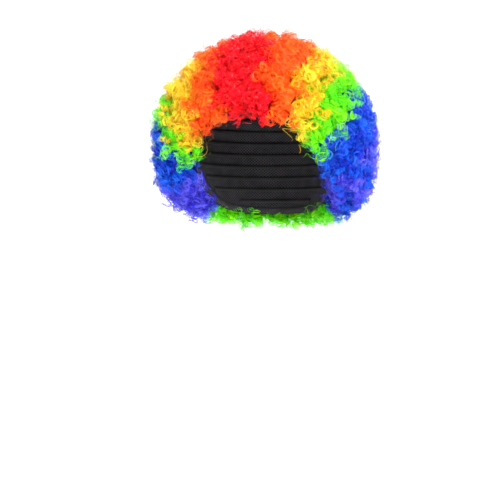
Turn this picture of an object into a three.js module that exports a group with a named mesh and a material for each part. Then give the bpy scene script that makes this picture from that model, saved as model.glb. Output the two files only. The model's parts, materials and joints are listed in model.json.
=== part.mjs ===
// A child's curly clown wig: an elastic cap that carries curled hair in sections of rainbow colours.
// Millimetres, +Z up, the face opening towards -Y, the wearer's left towards +X.
// The origin is the inside of the cap's crown, the point that sits on top of the head.
import * as THREE from "three";

// Head that the cap fits
const headWidth = 144;
const headLength = 184;
const crownHeight = 75; // from the head's widest level up to its crown
const jawDepth = 120; // from the widest level down to where the head form closes
const crownRoundness = 2.2; // 2 is an ellipse, more is squarer
const jawRoundness = 2.5;
const whorlLean = 30; // degrees that the whorl, from which the rows of hair spread, lies behind the crown

// Cap
const capWall = 2;
const foreheadDrop = 42; // cap edge below the crown, at the middle of the forehead
const napeDrop = 148; // cap edge below the crown, at the nape

// Hair
const hairOnCrown = 51; // length of the hair, from the cap to the outline
const hairAtSides = 53;
const hairAtFront = 40;
const hairAtBack = 50;
const hairBelowNape = 27;
const outlineRise = 62; // from the crown down to the outline's widest level
const upperRoundness = 1.8;
const lowerRoundness = 2.9;
const lockSpacing = 27; // at the outline
const rowCloseness = 0.88; // spacing of the rows of locks, as a share of the spacing along a row
const lockHeight = 17; // from the valleys between locks up to their tips
const lockLean = 0.3; // how far a tip leans, as a share of the way to a corner
const unevenness = 0.16; // how far roots stray, as a share of the spacing
const tipUnevenness = 0.08; // how far tips fall short, as a share of lockHeight
const edgeRows = 2; // locks one under the other, on the face of the hair round the cap's edge
const edgeBulge = 0.22; // how far that face bulges, as a share of its height
const edgeLockHeight = 0.45; // of a lock on it, as a share of the lock's width
const gap = 0.4; // between the cap and the hair
const parting = 0.35; // how far a section stands back from its border, on each side

// Fan of sections: its axis runs from front to back through the head, and sinks behind the crown
const fanDrop = 110;
const fanSink = 12;
const fanHub = 36; // radius round the axis that belongs to the low row

const napeRowRise = 28; // from the nape edge up to the top of the nape's row of hair
const napeRowWidth = 112;

// Shape of a lock, from its corners to its tip: how far each ring has come in, as a share of the way from
// a corner to the lock's middle, and how high it stands, as a share of the lock's height
const lockRings = [
  { inwards: 0.18, height: 0.54 },
  { inwards: 0.5, height: 0.9 },
];

// The cap's edge, from the front round to the back: its drop as a share of the way from foreheadDrop to
// napeDrop, how much the hair on it hangs down, and its length as a share of the way to the outline
const edge = [
  { azimuth: 0, drop: 0.0, droop: 0.2, fullness: 0.75 },
  { azimuth: 30, drop: 0.08, droop: 0.2, fullness: 0.75 },
  { azimuth: 55, drop: 0.36, droop: 0.35, fullness: 0.85 },
  { azimuth: 78, drop: 0.6, droop: 0.75, fullness: 0.95 },
  { azimuth: 100, drop: 0.7, droop: 1.0, fullness: 1.0 },
  { azimuth: 120, drop: 0.9, droop: 1.0, fullness: 1.0 },
  { azimuth: 145, drop: 0.98, droop: 0.9, fullness: 1.0 },
  { azimuth: 180, drop: 1.0, droop: 0.8, fullness: 1.0 },
];

const colours = {
  red: 0xf5121c,
  orange: 0xff5a14,
  yellow: 0xf8cf1c,
  green: 0x5cf010,
  blue: 0x0f3fe0,
  violet: 0x5a46e0,
  net: 0x2a2624,
};

// Sections from the wearer's right, over the crown, to the left. The angles say where each one ends,
// in degrees round the fan's axis from straight up, at four places from the front edge to the back.
const fan = [
  { name: "hair_violet_right", colour: colours.violet, front: -104, temple: -95, crown: -96, back: -78 },
  { name: "hair_blue_right", colour: colours.blue, front: -100, temple: -61, crown: -64, back: -63 },
  { name: "hair_green_right", colour: colours.green, front: -70, temple: -50, crown: -49, back: -45 },
  { name: "hair_yellow_right", colour: colours.yellow, front: -54, temple: -27, crown: -28, back: -30 },
  { name: "hair_orange_right", colour: colours.orange, front: -21, temple: -16, crown: -14, back: -15 },
  { name: "hair_red", colour: colours.red, front: 17, temple: 2, crown: 3, back: 14 },
  { name: "hair_orange_left", colour: colours.orange, front: 33, temple: 21, crown: 21, back: 31 },
  { name: "hair_yellow_left", colour: colours.yellow, front: 56, temple: 34, crown: 33, back: 48 },
  { name: "hair_green_left", colour: colours.green, front: 98, temple: 50, crown: 49, back: 62 },
  { name: "hair_blue_left", colour: colours.blue, front: 100, temple: 93, crown: 73, back: 74 },
  { name: "hair_violet_left", colour: colours.violet, front: 118, temple: 107, crown: 104, back: 82 },
  { name: "hair_blue_low", colour: colours.blue, front: 230, temple: 230, crown: 230, back: 268 },
];
const napeRow = { name: "hair_green_nape", colour: colours.green };
const fanPlaces = { front: -0.8, temple: -0.3, crown: 0, back: 1 }; // as shares of the outline's half depth

// Values that follow from the sizes above
const radians = THREE.MathUtils.degToRad;
const hairInside = capWall + gap; // hair's inner face, outside the cap's inner face
const headCentre = new THREE.Vector3(0, 0, -crownHeight);
const frontReach = headLength / 2 + capWall + hairAtFront;
const backReach = headLength / 2 + capWall + hairAtBack;
const outline = {
  centre: new THREE.Vector3(0, (backReach - frontReach) / 2, -outlineRise),
  halfWidth: headWidth / 2 + capWall + hairAtSides,
  halfDepth: (backReach + frontReach) / 2,
  up: outlineRise + capWall + hairOnCrown,
  down: napeDrop + hairBelowNape - outlineRise,
};

// Repeatable scatter between -1 and 1, from a lock's number and a channel
function scatter(number, channel) {
  const wave = Math.sin(number * 12.9898 + channel * 78.233 + 4.1) * 43758.5453;
  return 2 * (wave - Math.floor(wave)) - 1;
}

// Value of one column of the edge table in the direction of a point, eased between its rows
function edgeValue(column, point) {
  const turn = Math.abs(THREE.MathUtils.radToDeg(Math.atan2(point.x, -point.y)));
  const next = Math.max(1, edge.findIndex((row) => row.azimuth >= turn));
  const [low, high] = [edge[next - 1], edge[next]];
  const share = THREE.MathUtils.smoothstep(turn, low.azimuth, high.azimuth);
  return THREE.MathUtils.lerp(low[column], high[column], share);
}

// Point on the head form, moved out along its normal. The direction from the head's middle is given by
// an azimuth round the whorl, from the front, and a polar angle from the whorl.
function headPoint(azimuth, polar, offset) {
  const [a, p] = [radians(azimuth), radians(polar)];
  const way = new THREE.Vector3(Math.sin(p) * Math.sin(a), -Math.sin(p) * Math.cos(a), Math.cos(p));
  way.applyAxisAngle(new THREE.Vector3(1, 0, 0), -radians(whorlLean));
  const roundness = way.z > 0 ? crownRoundness : jawRoundness;
  const height = way.z > 0 ? crownHeight : jawDepth;
  const [width, length] = [headWidth / 2, headLength / 2];
  const level = Math.hypot(way.x / width, way.y / length);
  const reach = (level ** roundness + Math.abs(way.z / height) ** roundness) ** (-1 / roundness);
  const point = way.clone().multiplyScalar(reach);
  const slope = (level * reach) ** (roundness - 2);
  const normal = new THREE.Vector3(
    (slope * point.x) / width ** 2,
    (slope * point.y) / length ** 2,
    (Math.sign(point.z) * Math.abs(point.z / height) ** (roundness - 1)) / height,
  ).normalize();
  return point.addScaledVector(normal, offset).add(headCentre);
}

// Halves the way between two values until it finds where a test stops being true
function lastWhere(test, low, high) {
  while (high - low > 1e-5) {
    const middle = (low + high) / 2;
    if (test(middle)) low = middle;
    else high = middle;
  }
  return low;
}

// Polar angle of the cap's edge at an azimuth
function edgePolar(azimuth) {
  const onCap = (polar) => {
    const point = headPoint(azimuth, polar, 0);
    return -point.z < THREE.MathUtils.lerp(foreheadDrop, napeDrop, edgeValue("drop", point));
  };
  return lastWhere(onCap, 20, 150);
}

// Point over the cap: share runs from 0 at the whorl to 1 at the edge
function capPoint(azimuth, share, offset) {
  return headPoint(azimuth, share * edgePolar(azimuth), offset);
}

function capNormal(azimuth, share) {
  return capPoint(azimuth, share, 1).sub(capPoint(azimuth, share, 0));
}

// Direction along the cap, away from the whorl
function downhill(azimuth, share) {
  const step = 0.01;
  return capPoint(azimuth, share + step, 0).sub(capPoint(azimuth, share - step, 0)).normalize();
}

// Direction in which the hair grows: outwards, and hanging more towards the edge
function hairWay(azimuth, share) {
  const droop = edgeValue("droop", capPoint(azimuth, share, 0)) * share ** 3;
  return capNormal(azimuth, share).addScaledVector(downhill(azimuth, share), droop).normalize();
}

// Under 1 inside the wig's outline, over 1 outside it
function outlineValue(point) {
  const from = point.clone().sub(outline.centre);
  const roundness = from.z > 0 ? upperRoundness : lowerRoundness;
  const height = from.z > 0 ? outline.up : outline.down;
  const level = Math.hypot(from.x / outline.halfWidth, from.y / outline.halfDepth);
  return level ** roundness + Math.abs(from.z / height) ** roundness;
}

// Hair length at a root, from the cap to the outline, less near the front edge
function hairLength(azimuth, share) {
  const root = capPoint(azimuth, share, hairInside);
  const way = hairWay(azimuth, share);
  const inOutline = (length) => outlineValue(root.clone().addScaledVector(way, length)) < 1;
  const towardsEdge = THREE.MathUtils.smoothstep(share, 0.55, 1);
  const fullness = THREE.MathUtils.lerp(1, edgeValue("fullness", root), towardsEdge);
  return fullness * lastWhere(inOutline, 0, outline.halfDepth);
}

// Point in the hair: depth runs from the cap, in millimetres along the hair
function hairPoint(azimuth, share, depth) {
  return capPoint(azimuth, share, hairInside).addScaledVector(hairWay(azimuth, share), depth);
}

// Rows of locks from the whorl to the edge, each lock at an azimuth and a share of the way to the edge
function plantLocks() {
  const rows = [[{ azimuth: 0, share: 0 }]];
  const side = [0, 0.25, 0.5, 0.75, 1].map((share) => hairPoint(90, share, hairLength(90, share)));
  const sideLength = side.slice(1).reduce((sum, point, i) => sum + point.distanceTo(side[i]), 0);
  const rowCount = Math.round(sideLength / (lockSpacing * rowCloseness));
  for (let row = 1; row <= rowCount; row++) {
    const share = row / (rowCount + 0.5);
    const round = Array.from({ length: 36 }, (_, i) => hairPoint(i * 10, share, hairLength(i * 10, share)));
    const length = round.reduce((sum, point, i) => sum + point.distanceTo(round[(i + 1) % 36]), 0);
    const count = Math.round(length / lockSpacing);
    const start = 100 * row;
    rows.push(
      Array.from({ length: count }, (_, i) => ({
        azimuth: ((i + 0.5 * (row % 2) + unevenness * scatter(start + i, 1)) * 360) / count,
        share: share + (unevenness * scatter(start + i, 2)) / (rowCount + 0.5),
      })),
    );
  }
  rows.flat().forEach((lock, number) => (lock.number = number));
  return rows;
}

// Triples of neighbouring locks, that fill the band between two rows
function triplesBetween(inner, outer) {
  const triples = [];
  const at = (row, i) => row[i % row.length];
  const middle = (row, i) => ((i + 0.5) * 360) / row.length + row[0].azimuth;
  const ends = [inner.length === 1 ? 0 : inner.length, outer.length];
  let [i, o] = [0, 0];
  while (i < ends[0] || o < ends[1]) {
    const innerFirst = i < ends[0] && (o >= ends[1] || middle(inner, i) < middle(outer, o));
    const next = innerFirst ? at(inner, i + 1) : at(outer, o + 1);
    triples.push([at(inner, i), at(outer, o), next]);
    if (innerFirst) i++;
    else o++;
  }
  return triples;
}

// Flat map of the cap seen from above, with the edge as a circle
const toMap = ({ azimuth, share }) =>
  new THREE.Vector2(Math.sin(radians(azimuth)), -Math.cos(radians(azimuth))).multiplyScalar(share);
const fromMap = (place) => ({
  azimuth: THREE.MathUtils.radToDeg(Math.atan2(place.x, -place.y)),
  share: place.length(),
});

// Corners where three locks meet, or two locks and the edge
function findCorners(rows) {
  const corners = [];
  for (let row = 1; row < rows.length; row++) {
    for (const locks of triplesBetween(rows[row - 1], rows[row])) {
      const centre = new THREE.Vector2();
      locks.forEach((lock) => centre.add(toMap(lock)));
      corners.push({ ...fromMap(centre.divideScalar(3)), locks });
    }
  }
  const last = rows[rows.length - 1];
  last.forEach((lock, i) => {
    const next = last[(i + 1) % last.length];
    const between = fromMap(toMap(lock).add(toMap(next)));
    corners.push({ azimuth: between.azimuth, share: 1, locks: [lock, next], onEdge: true });
  });
  corners.forEach((corner, number) => (corner.number = number));
  return corners;
}

// Angle at which a section ends, at a place along Y, between the two nearest columns of the table
function borderAngle(section, y) {
  const place = (y - outline.centre.y) / outline.halfDepth;
  const columns = Object.keys(fanPlaces);
  const next = Math.max(1, columns.findIndex((column) => fanPlaces[column] >= place));
  const [low, high] = [columns[next - 1], columns[next]];
  const share = THREE.MathUtils.inverseLerp(fanPlaces[low], fanPlaces[high], place);
  return THREE.MathUtils.lerp(section[low], section[high], THREE.MathUtils.clamp(share, 0, 1));
}

// The section that a lock belongs to, from where its tip stands
function sectionOf(lock) {
  const { azimuth, share } = lock;
  const root = capPoint(azimuth, share, 0);
  if (root.z < napeRowRise - napeDrop && Math.abs(root.x) < napeRowWidth / 2) return napeRow;
  const tip = hairPoint(azimuth, share, hairLength(azimuth, share));
  const sink = Math.max(0, tip.y - outline.centre.y) / outline.halfDepth;
  const above = tip.z + fanDrop + fanSink * sink;
  const low = fan[fan.length - 1];
  if (Math.hypot(tip.x, above) < fanHub) return low;
  let angle = THREE.MathUtils.radToDeg(Math.atan2(tip.x, above));
  if (angle < borderAngle(low, tip.y) - 360) angle += 360;
  return fan.find((section) => angle <= borderAngle(section, tip.y)) ?? fan[0];
}

// Locks of one section that hold together, largest group first. Locks touch where they share two corners.
function groupsOf(section, locks, touching) {
  const left = new Set(locks.filter((lock) => lock.section === section));
  const groups = [];
  for (const first of left) {
    const group = [first];
    left.delete(first);
    for (const lock of group) {
      for (const other of touching.get(lock)) {
        if (left.delete(other)) group.push(other);
      }
    }
    groups.push(group);
  }
  return groups.sort((a, b) => b.length - a.length);
}

// Gives each lock a section. Locks that are cut off from their own section join the one beside them.
function colourLocks(locks, corners) {
  const cornersOf = (lock) => corners.filter((corner) => corner.locks.includes(lock));
  const touching = new Map();
  for (const lock of locks) {
    const near = cornersOf(lock).flatMap((corner) => corner.locks.filter((other) => other !== lock));
    touching.set(lock, near.filter((other, i) => near.indexOf(other) < i));
  }
  locks.forEach((lock) => (lock.section = sectionOf(lock)));
  for (const section of [...fan, napeRow]) {
    for (const stray of groupsOf(section, locks, touching).slice(1)) {
      const beside = stray.flatMap((lock) => touching.get(lock)).filter((lock) => lock.section !== section);
      const count = (lock) => beside.filter((other) => other.section === lock.section).length;
      const most = beside.reduce((best, lock) => (count(lock) > count(best) ? lock : best));
      stray.forEach((lock) => (lock.section = most.section));
    }
  }
}

// Depth of the valleys between locks, measured from the cap
function valleyDepth({ azimuth, share }) {
  const length = hairLength(azimuth, share);
  return Math.max(length - lockHeight, length / 3);
}

// Collects points and triangles into a closed mesh
class Surface {
  points = [];
  faces = [];
  known = new Map();

  // Number of the point with this name, made on first use
  point(name, make) {
    if (!this.known.has(name)) {
      this.known.set(name, this.points.length);
      this.points.push(make());
    }
    return this.known.get(name);
  }

  // Polygon, counter-clockwise from outside, as a fan from its first point
  polygon([first, ...rest]) {
    rest.slice(1).forEach((corner, i) => this.faces.push(first, rest[i], corner));
  }

  // The same fan facing the other way
  polygonInside([first, ...rest]) {
    this.polygon([first, ...rest.reverse()]);
  }

  geometry() {
    const geometry = new THREE.BufferGeometry().setFromPoints(this.points);
    geometry.setIndex(this.faces);
    geometry.computeVertexNormals();
    return geometry;
  }
}

// Corners round a lock, counter-clockwise from outside, from the lowest number on
function cornersRound(lock, corners) {
  const centre = toMap(lock);
  const turn = (corner) => toMap(corner).sub(centre).angle();
  const own = corners.filter((corner) => corner.locks.includes(lock));
  own.sort((a, b) => turn(a) - turn(b));
  const first = own.indexOf(own.reduce((low, corner) => (corner.number < low.number ? corner : low)));
  return [...own.slice(first), ...own.slice(0, first)];
}

// Where a section's corner stands: on its border it is moved in, away from the neighbours' locks
function cornerPoint(corner, depth, section) {
  const point = hairPoint(corner.azimuth, corner.share, depth);
  const others = corner.locks.filter((lock) => lock.section !== section);
  if (others.length === 0) return point;
  const centreOf = (locks) => {
    const sum = new THREE.Vector3();
    locks.forEach((lock) => sum.add(hairPoint(lock.azimuth, lock.share, depth)));
    return sum.divideScalar(locks.length);
  };
  const own = corner.locks.filter((lock) => lock.section === section);
  const inwards = centreOf(own).sub(centreOf(others));
  const way = (depth > 0 ? hairWay : capNormal)(corner.azimuth, corner.share);
  inwards.addScaledVector(way, -inwards.dot(way)).normalize();
  return point.addScaledVector(inwards, parting);
}

// Adds the outside of a lock: a blunt knob over its corners, that leans to one side like a curl. Its sides
// follow the ways of its corners, which it shares with its neighbours, and its middle goes straight up.
function addKnob(surface, number, valley, ways, foot, up, height) {
  const lean = surface.points[valley[number % valley.length]].clone().sub(foot).multiplyScalar(lockLean);
  const raised = (point, way, share) => {
    point.addScaledVector(way, share * height).addScaledVector(lean, share ** 3);
    return surface.points.push(point) - 1;
  };
  let below = valley;
  for (const { inwards, height: share } of lockRings) {
    const above = valley.map((corner, i) => {
      const point = surface.points[corner].clone().lerp(foot, inwards);
      const way = ways[i].clone().lerp(up, inwards).normalize();
      return raised(point, way, share);
    });
    below.forEach((corner, i) => {
      const next = (i + 1) % below.length;
      surface.polygon([corner, below[next], above[next], above[i]]);
    });
    below = above;
  }
  const tip = raised(foot.clone(), up, 1);
  below.forEach((corner, i) => surface.polygon([tip, corner, below[(i + 1) % below.length]]));
}

// Adds a lock that grows from the cap
function addLock(surface, lock, round, valley) {
  const { azimuth, share, number } = lock;
  const ways = round.map((corner) => hairWay(corner.azimuth, corner.share));
  const depth = valleyDepth(lock);
  const short = lockHeight * tipUnevenness * (1 + scatter(number, 3));
  const height = hairLength(azimuth, share) - depth - short;
  addKnob(surface, number, valley, ways, hairPoint(azimuth, share, depth), hairWay(azimuth, share), height);
}

// Adds the locks that hang over the edge, below the lock between two corners
function addEdgeLocks(surface, lock, azimuths, start, end) {
  const down = downhill(lock.azimuth, 1);
  const [first, last] = azimuths.map((azimuth) => downhill(azimuth, 1));
  const ways = [first, first, last, last];
  for (let i = 0; i + 1 < start.length; i++) {
    const valley = [start[i], start[i + 1], end[i + 1], end[i]];
    const foot = new THREE.Vector3();
    valley.forEach((corner) => foot.addScaledVector(surface.points[corner], 1 / valley.length));
    const width = surface.points[start[i]].distanceTo(surface.points[end[i]]);
    addKnob(surface, lock.number + i, valley, ways, foot, down, width * edgeLockHeight);
  }
}

// Points down the hair at a corner, from the valley to the cap. On the edge, the hair between bulges over it.
function cornerLine(surface, corner, section) {
  const steps = corner.onEdge ? edgeRows : 1;
  return Array.from({ length: steps + 1 }, (_, i) =>
    surface.point("corner " + corner.number + " " + i, () => {
      const depth = (valleyDepth(corner) * (steps - i)) / steps;
      const bulge = edgeBulge * valleyDepth(corner) * Math.sin((Math.PI * i) / steps);
      return cornerPoint(corner, depth, section).addScaledVector(downhill(corner.azimuth, 1), bulge);
    }),
  );
}

// Section of hair: its locks outside, a face over the cap inside, and walls between the two round its border
function makeSection(section, locks, corners) {
  const surface = new Surface();
  const own = locks.filter((lock) => lock.section === section);
  for (const lock of own) {
    const round = cornersRound(lock, corners);
    const lines = round.map((corner) => cornerLine(surface, corner, section));
    addLock(surface, lock, round, lines.map((line) => line[0]));
    surface.polygonInside(lines.map((line) => line[line.length - 1]));
    round.forEach((start, i) => {
      const next = (i + 1) % round.length;
      const end = round[next];
      const [startLine, endLine] = [lines[i], lines[next]];
      const beside = start.locks.find((other) => other !== lock && end.locks.includes(other));
      if (!beside) addEdgeLocks(surface, lock, [start.azimuth, end.azimuth], startLine, endLine);
      else if (beside.section === section) return;
      else if (start.number < end.number) surface.polygon([...startLine, ...endLine.toReversed()]);
      else surface.polygon([endLine[0], ...startLine, ...endLine.slice(1).toReversed()]);
    });
  }
  return surface.geometry();
}

// Cap: an outer face under the hair, an inner face on the head, and the edge between them
function makeCap(locks, corners) {
  const surface = new Surface();
  const face = (name, offset) => (corner) =>
    surface.point(name + corner.number, () => capPoint(corner.azimuth, corner.share, offset));
  const [outer, inner] = [face("outer ", capWall), face("inner ", 0)];
  for (const lock of locks) {
    const round = cornersRound(lock, corners);
    surface.polygon(round.map(outer));
    surface.polygonInside(round.map(inner));
    round.forEach((corner, i) => {
      const next = round[(i + 1) % round.length];
      if (!corner.onEdge || !next.onEdge) return;
      surface.polygon([outer(next), outer(corner), inner(corner), inner(next)]);
    });
  }
  return surface.geometry();
}

function meshOf(name, geometry, colour, roughness) {
  const material = new THREE.MeshStandardMaterial({ color: colour, roughness, metalness: 0 });
  const mesh = new THREE.Mesh(geometry, material);
  mesh.name = name;
  return mesh;
}

const rows = plantLocks();
const corners = findCorners(rows);
const locks = rows.flat();
colourLocks(locks, corners);

const wig = new THREE.Group();
wig.add(meshOf("cap", makeCap(locks, corners), colours.net, 0.9));
for (const section of [...fan, napeRow]) {
  wig.add(meshOf(section.name, makeSection(section, locks, corners), section.colour, 0.55));
}

export default wig;
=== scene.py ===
"""A child's curly clown wig, dressed over its solids. Metres, in the frame's own axes.

Each section of hair is one piece: a soft core, drawn in from the section's solid, and ringlets of
synthetic fibre that grow out of it. The cap is a smooth net with rows of sewn tracks and a bound edge.
"""
import json
import math

import bmesh
import bpy
import numpy as np
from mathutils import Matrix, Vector
from mathutils.bvhtree import BVHTree
from mathutils.kdtree import KDTree


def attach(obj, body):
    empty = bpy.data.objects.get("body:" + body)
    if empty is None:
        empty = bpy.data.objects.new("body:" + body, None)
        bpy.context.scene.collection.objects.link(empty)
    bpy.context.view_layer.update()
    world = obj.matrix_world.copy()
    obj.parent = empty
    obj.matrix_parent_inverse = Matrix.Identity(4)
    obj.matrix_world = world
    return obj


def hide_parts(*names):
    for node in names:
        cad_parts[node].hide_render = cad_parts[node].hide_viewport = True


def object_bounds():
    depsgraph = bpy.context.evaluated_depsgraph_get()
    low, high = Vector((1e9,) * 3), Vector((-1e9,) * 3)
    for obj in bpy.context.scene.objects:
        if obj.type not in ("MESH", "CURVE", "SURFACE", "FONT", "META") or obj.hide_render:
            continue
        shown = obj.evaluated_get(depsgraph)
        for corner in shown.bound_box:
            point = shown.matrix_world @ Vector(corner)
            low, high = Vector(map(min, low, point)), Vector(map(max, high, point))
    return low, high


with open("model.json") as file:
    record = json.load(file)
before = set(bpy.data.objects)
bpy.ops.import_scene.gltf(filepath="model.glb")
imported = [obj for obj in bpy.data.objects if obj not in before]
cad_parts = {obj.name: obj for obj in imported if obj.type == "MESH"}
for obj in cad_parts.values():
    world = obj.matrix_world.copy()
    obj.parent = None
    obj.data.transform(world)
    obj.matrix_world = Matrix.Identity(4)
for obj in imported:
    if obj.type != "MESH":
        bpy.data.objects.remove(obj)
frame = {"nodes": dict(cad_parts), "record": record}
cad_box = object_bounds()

# Camera: turned a little towards the wearer's left, level, as far off as a portrait lens stands
view_azimuth = math.radians(11)
view_distance = 2.0
view_height = -0.19
view_side = -0.0154
lens = 130.9
sensor = 36.0
photo_width = 500  # in pixels, and the photo is square

# Stage, and lights, which are soft squares that face the wig
floor_drop = 0.28  # from the lowest solid down to the floor
floor_front = -3.0
wall_back = 2.5
wall_height = 3.0
half_width = 4.0
floor_bend = 0.8  # radius where the floor runs up into the wall
bend_steps = 8
stage_colour = (0.95, 0.95, 0.95, 1.0)
stage_roughness = 0.9
lights = {
    "key": {"place": (1.0, -1.7, 0.9), "size": 0.8, "power": 66},
    "fill": {"place": (-1.2, -1.6, 0.3), "size": 1.2, "power": 5},
    "rim": {"place": (0.3, 1.5, 1.2), "size": 1.2, "power": 32},
}
sky_colour = (1.0, 1.0, 1.0, 1.0)
sky_strength = 1.0

# Ringlets, and the loose hairs that stand out of them. Spacing is the least distance between roots, and
# a channel starts the random draws. The pairs are ranges: turns are full circles, and lean is the bend
# towards one side on the way to the end, in radians
ringlets = {
    "spacing": 0.0072,
    "radius": (0.0030, 0.0056),
    "length": (0.010, 0.017),
    "turns": (1.6, 2.5),
    "lean": (0.5, 2.2),
    "width": (0.00022, 0.0006),
    "strands": 10,
    "channel": 1,
}
loose_hairs = {
    "spacing": 0.0085,
    "radius": (0.0035, 0.0068),
    "length": (0.017, 0.025),
    "turns": (1.0, 2.0),
    "lean": (0.5, 2.2),
    "width": (0.00025, 0.00042),
    "strands": 1,
    "channel": 50,
}
root_tries = 7  # places tried in each square of the spacing
root_depth = 0.0085  # of a ringlet's start, under the surface of the solid
furthest_reach = 0.010  # of any hair, out of the box round the solids
growth_share = 0.5  # of the way out of the cap in a ringlet's heading; the rest is out of its own face
lean_size = 0.03  # of the patches of ringlets that lean the same way
lean_scatter = 0.8  # how far single ringlets stray from that
lean_drop = 0.35  # how far they all lean downwards
bend_delay = 1.5  # the higher, the nearer to its end a ringlet bends
swell_along = [0, 0.35, 0.7, 1]  # where a ringlet's radius is given, as shares of its length
swell_radius = [0.5, 1, 1, 0.35]  # as shares of its full radius

# Strands of a ringlet, and how far they differ from it
strand_steps = 20
strand_shift = 0.0016  # along its axis
strand_phase = 0.5  # round its axis, in radians
strand_turns = 0.12  # in turns, as a share
strand_radius = 0.2  # in radius, as a share
strand_twist = 1.2  # most twist of a flat strand about its own line, in radians
tip_width = 0.3  # as a share of the strand's width
tip_sharpness = 4  # the higher, the nearer to its end a strand narrows

# Tone of a strand, from 0, dark, to 1, light, partly its own and partly painted highlight and shade of the
# curls: what each of these adds at most or as a usual spread
patch_highlight_and_shade = 0.3
ringlet_tone = 0.16
strand_tone = 0.14
tone_size = 0.013  # of the lighter and darker patches of curls, painted highlight and shade on the lumps
highlight_skew = 1.5  # above 1, fewer strands are light than dark, so that the painted highlight falls on few

# Where the colours of two sections mix at their border
mixing_reach = 0.015
mixing_sharpness = 3.0  # the higher, the fewer curls stray over a border

# Where a section's curls lie over its neighbours: middle and reach of each patch, in pixels of the photo
accents = {
    "hair_red": [(215, 101, 6), (270, 101, 8)],
    "hair_orange_right": [(195, 134, 6)],
    "hair_yellow_right": [
        (189, 66, 8), (190, 77, 6), (163, 98, 8), (165, 109, 7),
        (180, 114, 7), (189, 117, 7), (184, 128, 7), (186, 149, 5),
    ],
    "hair_green_right": [(168, 128, 6), (176, 139, 7), (193, 150, 5), (180, 162, 8), (191, 156, 8)],
    "hair_blue_right": [(155, 132, 6), (156, 146, 7), (160, 160, 7), (165, 183, 7), (185, 178, 7)],
    "hair_orange_left": [(261, 71, 11), (281, 108, 7), (295, 106, 6), (294, 120, 7)],
    "hair_yellow_left": [
        (314, 74, 7), (336, 74, 7), (328, 82, 5), (300, 82, 7), (301, 101, 7),
        (321, 112, 7), (305, 117, 7), (315, 127, 7), (304, 138, 9),
    ],
    "hair_green_left": [
        (356, 92, 6), (323, 100, 6), (343, 129, 8), (322, 144, 8),
        (333, 143, 5), (309, 155, 7), (322, 153, 6),
    ],
    "hair_blue_left": [
        (356, 108, 5), (322, 173, 7), (338, 173, 7),
        (369, 172, 6), (365, 182, 10), (347, 199, 9),
    ],
    "hair_violet_left": [(366, 158, 9), (357, 180, 6), (345, 181, 7), (333, 193, 8), (335, 204, 8)],
}
accent_edge = (0.6, 1.2)  # range of a patch's reach, as shares, so that its edge is ragged
accent_facing = 0.08  # least cosine between the growth of a patch's hair and the way to the camera

# Core of a section
core_inset = 0.0065  # from the solid's surface
core_lump = 0.0016  # height of the lumps on it
core_lump_size = 0.007
core_lump_channel = 11
core_curl_size = 0.0042  # of the curls drawn on it
core_tone_size = 0.005
core_tone_channel = 12
core_along = 0.24  # how far along a strand its colour is taken from, near the root, so that the core carries painted shade
core_along_spread = 0.14
core_sharp = math.radians(70)  # edges that bend more stay sharp

# Smooth noise, a sum of waves
wave_count = 6
wave_pace = (0.7, 1.5)  # range, as shares of the pace that gives features of the wanted size

# Faces of the solids
hidden_reach = 0.004  # a face with another solid this close in front of it carries no hair
ray_start = 2e-4  # in front of a face
weld_places = 6  # decimal places to which points at one place agree
weld_distance = 1e-5

# Cap: tracks that the hair is sewn on, and the bound edge
cap_sharp = math.radians(50)  # edges that bend more stay sharp
cap_top = -0.02  # a level on which the cap is closed all round
cap_bottom = -0.16  # a level below the cap
cap_wall = 0.002
cap_steps = 144  # round the head
edge_tolerance = 1e-5
edge_margin = 1e-4  # above the edge, where the wall is sure to be met
track_levels = [-0.030, -0.043, -0.056, -0.069, -0.082, -0.095, -0.108, -0.121, -0.134]
track_half_height = 0.0022
track_thickness = 0.0011
track_end_gap = 0.012  # from the end of a track down to the cap's edge
shortest_run = 3  # steps of a track
binding_width = 0.008
binding_thickness = 0.0009
binding_tuck = 0.7  # how far its upper edge stands off the wall, as a share of its thickness

# Colours of the hair as 8-bit sRGB: at the root, a darker one that is painted shade among the curls
# and on the core, and two between which the strands vary, the lighter partly painted highlight
hair_colours = {
    "hair_red": {"root": (190, 0, 12), "first": (228, 0, 10), "second": (255, 22, 46)},
    "hair_orange": {"root": (232, 62, 0), "first": (250, 66, 0), "second": (255, 132, 34)},
    "hair_yellow": {"root": (214, 142, 0), "first": (232, 168, 0), "second": (255, 246, 62)},
    "hair_green": {"root": (44, 168, 0), "first": (60, 216, 0), "second": (162, 255, 12)},
    "hair_blue": {"root": (0, 14, 150), "first": (0, 18, 186), "second": (20, 116, 255)},
    "hair_violet": {"root": (34, 20, 170), "first": (36, 24, 204), "second": (122, 120, 255)},
}

# Fibre of the hair
streaks_across = 240.0  # how fast the streaks change from tone to tone
streaks_along = 9.0  # and along a strand
streak_detail = 3.0
streak_value = 0.74  # of the darkest streaks
streak_roughness = (0.3, 0.48)  # of dark and light streaks
streak_bump = {"strength": 0.35, "distance": 0.0006}
root_shade_fade = (0.1, 0.5)  # along a strand, where the painted shade of the root's colour gives way
root_streaks = 0.25  # how far streaks shift that
fibre_specular = 0.22
curl_distortion = 14.0
curl_detail = {"Detail": 2.0, "Detail Scale": 1.2}

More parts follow.
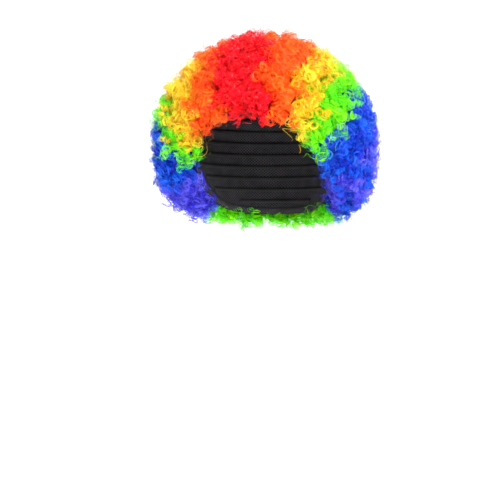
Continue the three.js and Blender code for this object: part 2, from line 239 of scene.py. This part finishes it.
# Net and tapes of the cap: colours as 8-bit sRGB, threads round the head, rise from thread to thread
cap_looks = {
    "cap_net": {
        "ground": (20, 19, 21), "thread": (70, 67, 72),
        "threads": 150, "rise": 0.0031, "roughness": 0.8,
    },
    "cap_tracks": {
        "ground": (22, 21, 23), "thread": (44, 42, 46),
        "threads": 260, "rise": 1.0, "roughness": 0.7,
    },
    "cap_binding": {
        "ground": (30, 29, 32), "thread": (56, 54, 59),
        "threads": 260, "rise": 0.0016, "roughness": 0.75,
    },
}
thread_edge = (0.55, 0.95)  # height of the threads' waves, where a thread's side lies
thread_bump = {"strength": 0.7, "distance": 0.0005}
net_specular = 0.3
wear_scale = 70.0
wear_most = 0.5  # how far worn threads take the ground's colour


# Arrays and meshes
def unit(vectors):
    return vectors / np.maximum(np.linalg.norm(vectors, axis=-1, keepdims=True), 1e-9)


def vertices_of(mesh):
    found = np.zeros(len(mesh.vertices) * 3, np.float32)
    mesh.vertices.foreach_get("co", found)
    return found.reshape(-1, 3).astype(float)


def triangles_of(mesh):
    mesh.calc_loop_triangles()
    found = np.zeros(len(mesh.loop_triangles) * 3, np.int32)
    mesh.loop_triangles.foreach_get("vertices", found)
    return found.reshape(-1, 3)


def welded(points, triangles):
    """The same surface with one point wherever several lay at one place."""
    _, first, place = np.unique(points.round(weld_places), axis=0, return_index=True, return_inverse=True)
    return points[first], place.reshape(-1)[triangles]


def tree_of(points, triangles):
    return BVHTree.FromPolygons(points.tolist(), triangles.tolist())


def join(parts):
    """One set of arrays from several: points, triangles, and then values for each point."""
    starts = np.cumsum([0] + [len(part[0]) for part in parts])
    faces = np.concatenate([part[1] + start for part, start in zip(parts, starts)])
    values = [np.concatenate([part[i] for part in parts]) for i in range(2, len(parts[0]))]
    return [np.concatenate([part[0] for part in parts]), faces, *values]


def waves(points, size, channel):
    """Smooth repeatable noise between -1 and 1, with features of about this size."""
    rng = np.random.default_rng(channel)
    total = np.zeros(len(points))
    for _ in range(wave_count):
        way = unit(rng.normal(size=3)) * rng.uniform(*wave_pace) * math.pi / size
        total += np.sin(points @ way + rng.uniform(0, 2 * math.pi))
    return np.clip(total / (wave_count / 2), -1, 1)


def rounded(points, triangles, sharp):
    """The arrays of the surface subdivided once. Edges bent by more than the sharp angle stay."""
    mesh = bpy.data.meshes.new("rounded")
    mesh.from_pydata(points.tolist(), [], triangles.tolist())
    shape = bmesh.new()
    shape.from_mesh(mesh)
    bmesh.ops.remove_doubles(shape, verts=shape.verts, dist=weld_distance)
    crease = shape.edges.layers.float.new("crease_edge")
    for edge in shape.edges:
        edge[crease] = 1.0 if edge.calc_face_angle(0) > sharp else 0.0
    shape.to_mesh(mesh)
    shape.free()
    carrier = bpy.data.objects.new("rounded", mesh)
    bpy.context.scene.collection.objects.link(carrier)
    carrier.modifiers.new("rounded", "SUBSURF").levels = 1
    shaped = carrier.evaluated_get(bpy.context.evaluated_depsgraph_get()).to_mesh()
    arrays = vertices_of(shaped), triangles_of(shaped)
    bpy.data.objects.remove(carrier)
    bpy.data.meshes.remove(mesh)
    return arrays


def mesh_piece(name, points, triangles, material, tone=None, along=None, core=None):
    """A smooth mesh from arrays, with the values at each point that its colour follows."""
    mesh = bpy.data.meshes.new(name)
    mesh.vertices.add(len(points))
    mesh.vertices.foreach_set("co", points.astype(np.float32).ravel())
    mesh.loops.add(triangles.size)
    mesh.loops.foreach_set("vertex_index", triangles.astype(np.int32).ravel())
    mesh.polygons.add(len(triangles))
    mesh.polygons.foreach_set("loop_start", np.arange(0, triangles.size, 3, dtype=np.int32))
    mesh.polygons.foreach_set("use_smooth", np.ones(len(triangles), bool))
    mesh.update(calc_edges=True)
    mesh.materials.append(material)
    if tone is not None:
        for label, values in (("tone", tone), ("along", along), ("core", core)):
            field = mesh.attributes.new(label, "FLOAT", "POINT")
            field.data.foreach_set("value", values.astype(np.float32))
        lay_out(mesh, points, triangles, tone, along, core)
    piece = bpy.data.objects.new(name, mesh)
    bpy.context.scene.collection.objects.link(piece)
    return piece


def lay_out(mesh, points, triangles, tone, along, core):
    """Flat places for colours: strands by tone and length in the lower third, the core above."""
    way = unit(points - points.mean(axis=0))
    low, high = way.min(axis=0), way.max(axis=0)
    flat = (way - low) / np.maximum(high - low, 1e-6)
    strand_top, core_bottom = 0.3, 0.34
    strand_place = np.stack([tone, strand_top * along], axis=1)
    core_place = np.stack([flat[:, 0], core_bottom + (1 - core_bottom) * flat[:, 2]], axis=1)
    place = np.where(core[:, None] > 0.5, core_place, strand_place)[triangles.ravel()]
    mesh.uv_layers.new(name="OFBake").data.foreach_set("uv", place.astype(np.float32).ravel())


def dress(piece, slot, *nodes):
    """A piece that rides on the wig, and may stand for nodes, whose solids it hides. The slot is not used."""
    if nodes:
        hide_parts(*nodes)
    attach(piece, "root")


# Camera
def camera_frame():
    """The camera's place, and its directions to the right and ahead."""
    right = Vector((math.cos(view_azimuth), math.sin(view_azimuth), 0))
    ahead = Vector((-math.sin(view_azimuth), math.cos(view_azimuth), 0))
    place = right * view_side - ahead * view_distance + Vector((0, 0, view_height))
    return place, right, ahead


def make_camera():
    place, _, ahead = camera_frame()
    camera = bpy.data.cameras.new("camera")
    camera.lens = lens
    camera.sensor_width = sensor
    holder = bpy.data.objects.new("camera", camera)
    holder.location = place
    holder.rotation_euler = ahead.to_track_quat("-Z", "Y").to_euler()
    bpy.context.scene.collection.objects.link(holder)
    bpy.context.scene.camera = holder


def in_photo(places, outwards):
    """Pixel of the photo at which each place lies, and whether it lies well on the camera's side."""
    place, right, ahead = camera_frame()
    away = places - np.array(place)
    scale = photo_width * lens / sensor / (away @ np.array(ahead))
    pixels = np.stack([away @ np.array(right) * scale, -away[:, 2] * scale], axis=1) + photo_width / 2
    return pixels, (unit(away) * outwards).sum(axis=1) < -accent_facing


# Stage and lights
def make_stage():
    """Pale floor that runs up into a pale wall."""
    floor_level = cad_box[0].z - floor_drop
    profile = [(floor_front, 0.0), (wall_back - floor_bend, 0.0)]
    for i in range(1, bend_steps + 1):
        turn = math.radians(90 * i / bend_steps)
        along = wall_back - floor_bend + floor_bend * math.sin(turn)
        profile.append((along, floor_bend * (1 - math.cos(turn))))
    profile.append((wall_back, wall_height))
    points = [(x, y, floor_level + z) for y, z in profile for x in (-half_width, half_width)]
    faces = [(2 * i, 2 * i + 1, 2 * i + 3, 2 * i + 2) for i in range(len(profile) - 1)]
    mesh = bpy.data.meshes.new("backdrop")
    mesh.from_pydata(points, [], faces)
    mesh.polygons.foreach_set("use_smooth", np.ones(len(faces), bool))
    mesh.materials.append(Shader("backdrop").finish(Base_Color=stage_colour, Roughness=stage_roughness))
    backdrop = bpy.data.objects.new("backdrop", mesh)
    bpy.context.scene.collection.objects.link(backdrop)


def add_light(name, place, size, power):
    light = bpy.data.lights.new(name, "AREA")
    light.shape = "SQUARE"
    light.size = size
    light.energy = power
    holder = bpy.data.objects.new(name, light)
    holder.location = place
    target = (cad_box[0] + cad_box[1]) / 2
    holder.rotation_euler = (target - Vector(place)).to_track_quat("-Z", "Y").to_euler()
    bpy.context.scene.collection.objects.link(holder)


def make_lights():
    for name, row in lights.items():
        add_light(name, **row)
    world = bpy.data.worlds.new("studio")
    world.use_nodes = True
    background = world.node_tree.nodes["Background"]
    background.inputs["Color"].default_value = sky_colour
    background.inputs["Strength"].default_value = sky_strength
    bpy.context.scene.world = world
    bpy.context.scene.view_settings.view_transform = "Standard"


# Materials
def linear(colour):
    """An 8-bit sRGB colour as the linear one that a shader takes."""
    part = [c / 255 for c in colour]
    return tuple(c / 12.92 if c <= 0.04045 else ((c + 0.055) / 1.055) ** 2.4 for c in part) + (1.0,)


class Shader:
    """A material's nodes, with short ways to add them and to link them."""

    def __init__(self, name):
        self.material = bpy.data.materials.new(name)
        self.material.use_nodes = True
        self.nodes = self.material.node_tree.nodes
        self.nodes.clear()

    def add(self, kind, inputs=(), **values):
        """Node of a kind, with its inputs by name or number, each a value or another node's output."""
        node = self.nodes.new("ShaderNode" + kind)
        for key, value in values.items():
            setattr(node, key, value)
        for key, value in dict(inputs).items():
            if isinstance(value, bpy.types.NodeSocket):
                self.material.node_tree.links.new(value, node.inputs[key])
            else:
                node.inputs[key].default_value = value
        return node

    def attribute(self, name):
        return self.add("Attribute", attribute_name=name).outputs["Fac"]

    def math(self, operation, first, second=0.0):
        return self.add("Math", {0: first, 1: second}, operation=operation).outputs["Value"]

    def mix(self, share, first, second):
        return self.add("Mix", {0: share, 6: first, 7: second}, data_type="RGBA").outputs[2]

    def span(self, value, low, high, to_low, to_high):
        inputs = {"Value": value, "From Min": low, "From Max": high, "To Min": to_low, "To Max": to_high}
        return self.add("MapRange", inputs, interpolation_type="SMOOTHSTEP").outputs["Result"]

    def noise(self, where, scale, detail=2.0):
        return self.add("TexNoise", {"Vector": where, "Scale": scale, "Detail": detail}).outputs["Fac"]

    def bump(self, height, strength, distance):
        inputs = {"Height": height, "Strength": strength, "Distance": distance}
        return self.add("Bump", inputs).outputs["Normal"]

    def finish(self, **sockets):
        inputs = {key.replace("_", " "): value for key, value in sockets.items()}
        shader = self.add("BsdfPrincipled", inputs)
        self.add("OutputMaterial", {"Surface": shader.outputs["BSDF"]})
        return self.material


def hair_material(name, colours):
    """Glossy synthetic fibre, streaked along each strand: painted shade at the root and on the core, and a
    tone for each strand whose light end is partly painted highlight.
    """
    shader = Shader(name)
    tone, along, core = map(shader.attribute, ("tone", "along", "core"))
    on_strand = shader.add("CombineXYZ", {
        "X": shader.math("MULTIPLY", tone, streaks_across),
        "Y": shader.math("MULTIPLY", along, streaks_along),
    })
    streak = shader.noise(on_strand.outputs["Vector"], 1.0, streak_detail)
    rings = shader.add("TexWave", {
        "Vector": shader.add("TexCoord").outputs["Object"],
        "Scale": 0.3 / core_curl_size,
        "Distortion": curl_distortion,
        **curl_detail,
    }, wave_type="RINGS")
    pattern = shader.add("Mix", {0: core, 2: streak, 3: rings.outputs["Fac"]}, data_type="FLOAT").outputs[0]
    # The strand's tone, skewed dark: its light end is partly painted highlight, its dark end partly painted
    # shade
    light = shader.math("POWER", tone, highlight_skew)
    fibre = shader.mix(light, linear(colours["first"]), linear(colours["second"]))
    shade = shader.span(pattern, 0.25, 0.65, streak_value, 1.0)
    shaded = shader.add("HueSaturation", {"Color": fibre, "Value": shade}).outputs["Color"]
    # Painted shade: the root's darker colour, deep among the curls and on the core, gives way along the
    # strand
    from_root = shader.math("ADD", along, shader.math("MULTIPLY", pattern, root_streaks))
    colour = shader.mix(shader.span(from_root, *root_shade_fade, 0.0, 1.0), linear(colours["root"]), shaded)
    return shader.finish(
        Base_Color=colour,
        Roughness=shader.span(pattern, 0.3, 0.7, *streak_roughness),
        Specular_IOR_Level=fibre_specular,
        Normal=shader.bump(pattern, **streak_bump),
    )


def net_material(name, ground, thread, threads, rise, roughness):
    """Elastic net: two sets of slanting threads round the cap, over a darker ground."""
    shader = Shader(name)
    where = shader.add("TexCoord").outputs["Object"]
    part = shader.add("SeparateXYZ", {"Vector": where}).outputs
    turn = shader.math("MULTIPLY", shader.math("ARCTAN2", part["X"], part["Y"]), float(threads))
    climb = shader.math("MULTIPLY", part["Z"], 2 * math.pi / rise)
    slants = [shader.math("SINE", shader.math(sense, turn, climb)) for sense in ("ADD", "SUBTRACT")]
    net = shader.span(shader.math("MAXIMUM", *slants), *thread_edge, 0.0, 1.0)
    wear = shader.span(shader.noise(where, wear_scale), 0.35, 0.7, 0.0, wear_most)
    worn = shader.mix(wear, linear(thread), linear(ground))
    return shader.finish(
        Base_Color=shader.mix(net, linear(ground), worn),
        Roughness=roughness,
        Specular_IOR_Level=net_specular,
        Normal=shader.bump(net, **thread_bump),
    )


# Solids of the frame
class Solids:
    """The frame's solids as arrays, and the faces on them that hair can grow from."""

    def __init__(self, nodes):
        self.slots = {row["node"]: row["material_slot"] for row in frame["record"]["subparts"]}
        self.points, self.faces = {}, {}
        for name, node in nodes.items():
            self.points[name], self.faces[name] = welded(vertices_of(node.data), triangles_of(node.data))
        self.sections = sorted(name for name in nodes if name != "cap")
        self.cap = tree_of(self.points["cap"], self.faces["cap"])
        points, faces = join([(self.points[name], self.faces[name]) for name in sorted(nodes)])
        self.all = tree_of(points, faces)

    def corners(self, section):
        return self.points[section][self.faces[section]]

    def crossed(self, section):
        """Product of two sides of each face: it stands on the face and is twice its area long."""
        corners = self.corners(section)
        return np.cross(corners[:, 1] - corners[:, 0], corners[:, 2] - corners[:, 0])

    def normals(self, section):
        return unit(self.crossed(section))

    def open_faces(self, section):
        """True for each face that has free air in front of it."""
        middles = self.corners(section).mean(axis=1)
        free = []
        for middle, normal in zip(middles, self.normals(section)):
            start = Vector(middle + ray_start * normal)
            free.append(self.all.ray_cast(start, Vector(normal), hidden_reach)[0] is None)
        return np.array(free)

    def growth(self, points):
        """Direction away from the cap at each point, in which the hair grows."""
        near = [self.cap.find_nearest(Vector(point))[0] for point in points]
        return unit(points - np.array(near))


# Hair
def scatter_roots(solids, spacing, rng):
    """Roots spread evenly over the open faces: place, direction out of the face, and section."""
    places, normals, owners = [], [], []
    for index, section in enumerate(solids.sections):
        free = solids.open_faces(section)
        areas = np.linalg.norm(solids.crossed(section)[free], axis=1) / 2
        corners = solids.corners(section)[free]
        count = int(areas.sum() / spacing**2 * root_tries)
        face = rng.choice(len(corners), count, p=areas / areas.sum())
        a, b = rng.random((2, count))
        a, b = np.where(a + b > 1, 1 - a, a), np.where(a + b > 1, 1 - b, b)
        c = corners[face]
        places.append(c[:, 0] + a[:, None] * (c[:, 1] - c[:, 0]) + b[:, None] * (c[:, 2] - c[:, 0]))
        normals.append(solids.normals(section)[free][face])
        owners.append(np.full(count, index))
    places, normals, owners = map(np.concatenate, (places, normals, owners))
    kept, owners = thin_out(places, owners, spacing, len(solids.sections), rng)
    places, normals = places[kept], normals[kept]
    add_accents(solids, places, owners, rng)
    return places, normals, owners


def thin_out(places, owners, spacing, sections, rng):
    """Roots that keep the spacing, each owned by a section that is drawn from those round it."""
    tree = KDTree(len(places))
    for index, place in enumerate(places):
        tree.insert(place, index)
    tree.balance()
    taken = np.zeros(len(places), bool)
    kept, mixed = [], []
    for index in rng.permutation(len(places)):
        if taken[index]:
            continue
        kept.append(index)
        for _, other, _ in tree.find_range(places[index], spacing):
            taken[other] = True
        near = [owners[other] for _, other, _ in tree.find_range(places[index], mixing_reach)]
        weight = np.bincount(near, minlength=sections) ** mixing_sharpness
        mixed.append(rng.choice(len(weight), p=weight / weight.sum()))
    return kept, np.array(mixed)


def add_accents(solids, places, owners, rng):
    """Gives the roots in each patch of the photo to the patch's section."""
    pixels, seen = in_photo(places, solids.growth(places))
    for section, patches in accents.items():
        for x, y, reach in patches:
            away = np.hypot(pixels[:, 0] - x, pixels[:, 1] - y)
            inside = away < reach * rng.uniform(*accent_edge, len(places))
            owners[inside & seen] = solids.sections.index(section)


def curl_lines(places, outwards, leans, sizes, rng):
    """Centre lines of the strands of each ringlet, and the direction from each ringlet's axis to them."""
    count = len(places)
    t = np.linspace(0, 1, strand_steps + 1)
    radius, length, turns, lean = (
        rng.uniform(*sizes[key], size=count) for key in ("radius", "length", "turns", "lean")
    )
    side = unit(np.cross(outwards, leans))
    leans = np.cross(side, outwards)
    bend = (lean[:, None] * t**bend_delay)[..., None]
    heading = outwards[:, None] * np.cos(bend) + leans[:, None] * np.sin(bend)
    step = heading * (length / strand_steps)[:, None, None]
    axis = places[:, None] + np.cumsum(step, axis=1) - step[:, :1]
    across = np.cross(heading, side[:, None])
    swell = np.interp(t, swell_along, swell_radius)
    start = rng.uniform(0, 2 * math.pi, count)
    hand = rng.choice([-1, 1], count)
    lines, rays = [], []
    for _ in range(sizes["strands"]):
        phase, wider, shift, more_turns = rng.normal(size=(4, count, 1))
        turned = (hand * turns)[:, None] * (1 + strand_turns * more_turns) * 2 * math.pi * t
        angle = start[:, None] + strand_phase * phase + turned
        ray = np.cos(angle)[..., None] * side[:, None] + np.sin(angle)[..., None] * across
        reach = radius[:, None] * swell * (1 + strand_radius * wider)
        along = strand_shift * shift * t
        lines.append(axis + ray * reach[..., None] + heading * along[..., None])
        rays.append(ray)
    return np.concatenate(lines), np.concatenate(rays)


def strips(lines, rays, width, twist):
    """Flat strips of fibre along lines: points and triangles. A twist turns a strip about its line."""
    count, rings = lines.shape[:2]
    ways = unit(np.gradient(lines, axis=1))
    across = unit(np.cross(ways, rays))
    rays = np.cross(across, ways)
    twist = twist[:, None, None]
    side = np.cos(twist) * across + np.sin(twist) * rays
    taper = 1 - (1 - tip_width) * np.linspace(0, 1, rings) ** tip_sharpness
    side = side * (width[:, None] / 2 * taper)[..., None]
    points = np.stack([lines - side, lines + side], axis=2)
    start = np.arange(rings - 1)[:, None] * 2
    one = np.concatenate([start + [0, 1, 3], start + [0, 3, 2]])
    starts = np.arange(count)[:, None, None] * rings * 2
    return points.reshape(-1, 3), (one[None] + starts).reshape(-1, 3)


def grow(solids, sizes):
    """Strands of all ringlets of one kind, by section."""
    channel = sizes["channel"]
    rng = np.random.default_rng(channel)
    places, normals, owners = scatter_roots(solids, sizes["spacing"], rng)
    count = len(places)
    outwards = unit(growth_share * solids.growth(places) + (1 - growth_share) * normals)
    leans = np.stack([waves(places, lean_size, channel + i) for i in range(3)], axis=1)
    leans = leans + lean_scatter * rng.normal(size=(count, 3)) + np.array([0, 0, -lean_drop])
    lines, rays = curl_lines(places - outwards * root_depth, outwards, leans, sizes, rng)
    # Each ringlet's tone: patches painted lighter and darker as highlight and shade on lumps of curls, and a
    # random spread
    patches = waves(places, tone_size, channel + 9)
    shade = 0.5 + patch_highlight_and_shade * patches + ringlet_tone * rng.normal(size=count)
    tones = np.tile(shade, sizes["strands"]) + strand_tone * rng.normal(size=len(lines))
    tones = np.clip(tones, 0, 1)
    owners = np.tile(owners, sizes["strands"])
    width = rng.uniform(*sizes["width"], size=len(lines))
    twist = rng.uniform(-strand_twist, strand_twist, len(lines))
    low, high = (np.array(corner) for corner in cad_box)
    inside = ((lines > low - furthest_reach) & (lines < high + furthest_reach)).all(axis=(1, 2))
    found = {}
    for index, section in enumerate(solids.sections):
        own = inside & (owners == index)
        points, faces = strips(lines[own], rays[own], width[own], twist[own])
        tone = np.repeat(tones[own], 2 * (strand_steps + 1))
        along = np.tile(np.repeat(np.linspace(0, 1, strand_steps + 1), 2), own.sum())
        found[section] = (points, faces, tone, along, np.zeros(len(points)))
    return found


def section_core(solids, section):
    """The section's solid, drawn in from its open faces, rounded and lumpy."""
    points = solids.points[section].copy()
    faces = solids.faces[section]
    free = solids.open_faces(section)
    inwards = np.zeros(points.shape)
    for corner in range(3):
        np.add.at(inwards, faces[free, corner], -solids.normals(section)[free])
    points += core_inset * unit(inwards)
    points, faces = rounded(points, faces, core_sharp)
    lumps = waves(points, core_lump_size, core_lump_channel)
    points = points + (core_lump * lumps)[:, None] * solids.growth(points)
    tone = 0.5 + 0.5 * waves(points, core_tone_size, core_tone_channel)
    # Painted shade: the core takes its colour near the roots, darker under the curls
    along = core_along + core_along_spread * lumps
    return points, faces, tone, along, np.ones(len(points))


def make_hair(solids):
    curls = grow(solids, ringlets)
    loose = grow(solids, loose_hairs)
    materials = {name: hair_material(name, colours) for name, colours in hair_colours.items()}
    for section in solids.sections:
        slot = solids.slots[section]
        points, faces, *values = join([section_core(solids, section), curls[section], loose[section]])
        dress(mesh_piece(section + "_curls", points, faces, materials[slot], *values), slot, section)


# Cap
def ribbon(rows, closed):
    """A strip through sections of four corners each, closed round or with two ends."""
    count = len(rows)
    corner = np.arange(4)
    starts = np.arange(count if closed else count - 1)[:, None] * 4
    ends = (starts + 4) % (4 * count)
    after = (corner + 1) % 4
    sides = [
        np.stack([starts + corner, starts + after, ends + after], -1).reshape(-1, 3),
        np.stack([starts + corner, ends + after, ends + corner], -1).reshape(-1, 3),
    ]
    if not closed:
        last = 4 * (count - 1)
        sides.append(np.array([[0, 2, 1], [0, 3, 2], [last, last + 1, last + 2], [last, last + 2, last + 3]]))
    return np.array(rows).reshape(-1, 3), np.concatenate(sides)


def inwards_at(turn):
    """Level direction towards the middle of the head, at an angle round it."""
    return Vector((-math.sin(turn), math.cos(turn), 0))


def wall_point(tree, turn, level):
    """Point on the inside of the cap at an angle round the head, or None below the edge."""
    return tree.ray_cast(Vector((0, 0, level)), -inwards_at(turn))[0]


def edge_level(tree, turn):
    """Level of the cap's edge at an angle round the head."""
    high, low = cap_top, cap_bottom
    while high - low > edge_tolerance:
        middle = (high + low) / 2
        if wall_point(tree, turn, middle) is None:
            low = middle
        else:
            high = middle
    return high


def runs(there):
    """Lists of neighbouring numbers round a ring for which a condition holds, and whether they close."""
    if all(there):
        return [list(range(len(there)))], True
    start = there.index(False)
    found = [[]]
    for step in range(len(there)):
        i = (start + step) % len(there)
        if there[i]:
            found[-1].append(i)
        elif found[-1]:
            found.append([])
    return [run for run in found if len(run) >= shortest_run], False


def cap_tracks(tree, turns, edge):
    """Rows of track inside the cap, each as far round as the cap reaches at its level."""
    tracks = []
    for level in track_levels:
        found, closed = runs([level > edge_at + track_end_gap for edge_at in edge])
        for run in found:
            rows = []
            for turn in (turns[i] for i in run):
                lift = inwards_at(turn) * track_thickness
                upper = wall_point(tree, turn, level + track_half_height)
                lower = wall_point(tree, turn, level - track_half_height)
                rows.append([lower - lift, lower + lift, upper + lift, upper - lift])
            tracks.append(ribbon(rows, closed))
    return join(tracks)


def cap_binding(tree, turns, edge):
    """Tape folded round the cap's edge."""
    rim = [wall_point(tree, turn, level + edge_margin) for turn, level in zip(turns, edge)]
    rows = []
    for i, turn in enumerate(turns):
        inwards = inwards_at(turn)
        along = (rim[(i + 1) % len(rim)] - rim[i - 1]).normalized()
        upwards = inwards.cross(along).normalized()
        if upwards.z < 0:
            upwards.negate()
        wall = tree.find_nearest(rim[i] + upwards * binding_width + inwards * binding_thickness)[0]
        foot = rim[i] - upwards * binding_thickness
        inner = inwards * binding_thickness
        outer = inwards * -(cap_wall + binding_thickness)
        rows.append([foot + outer, foot + inner, wall + inner * binding_tuck, wall - inner])
    return ribbon(rows, True)


def make_cap(solids):
    points, faces = rounded(solids.points["cap"], solids.faces["cap"], cap_sharp)
    tree = tree_of(points, faces)
    turns = [2 * math.pi * (i + 0.5) / cap_steps - math.pi for i in range(cap_steps)]
    edge = [edge_level(tree, turn) for turn in turns]
    net, track, tape = (net_material(name, **looks) for name, looks in cap_looks.items())
    dress(mesh_piece("cap_net", points, faces, net), "cap_net", "cap")
    dress(mesh_piece("cap_tracks", *cap_tracks(tree, turns, edge), track), "cap_net")
    dress(mesh_piece("cap_binding", *cap_binding(tree, turns[::-1], edge[::-1]), tape), "cap_net")


make_camera()
make_lights()
make_stage()
solids = Solids(frame["nodes"])
make_cap(solids)
make_hair(solids)
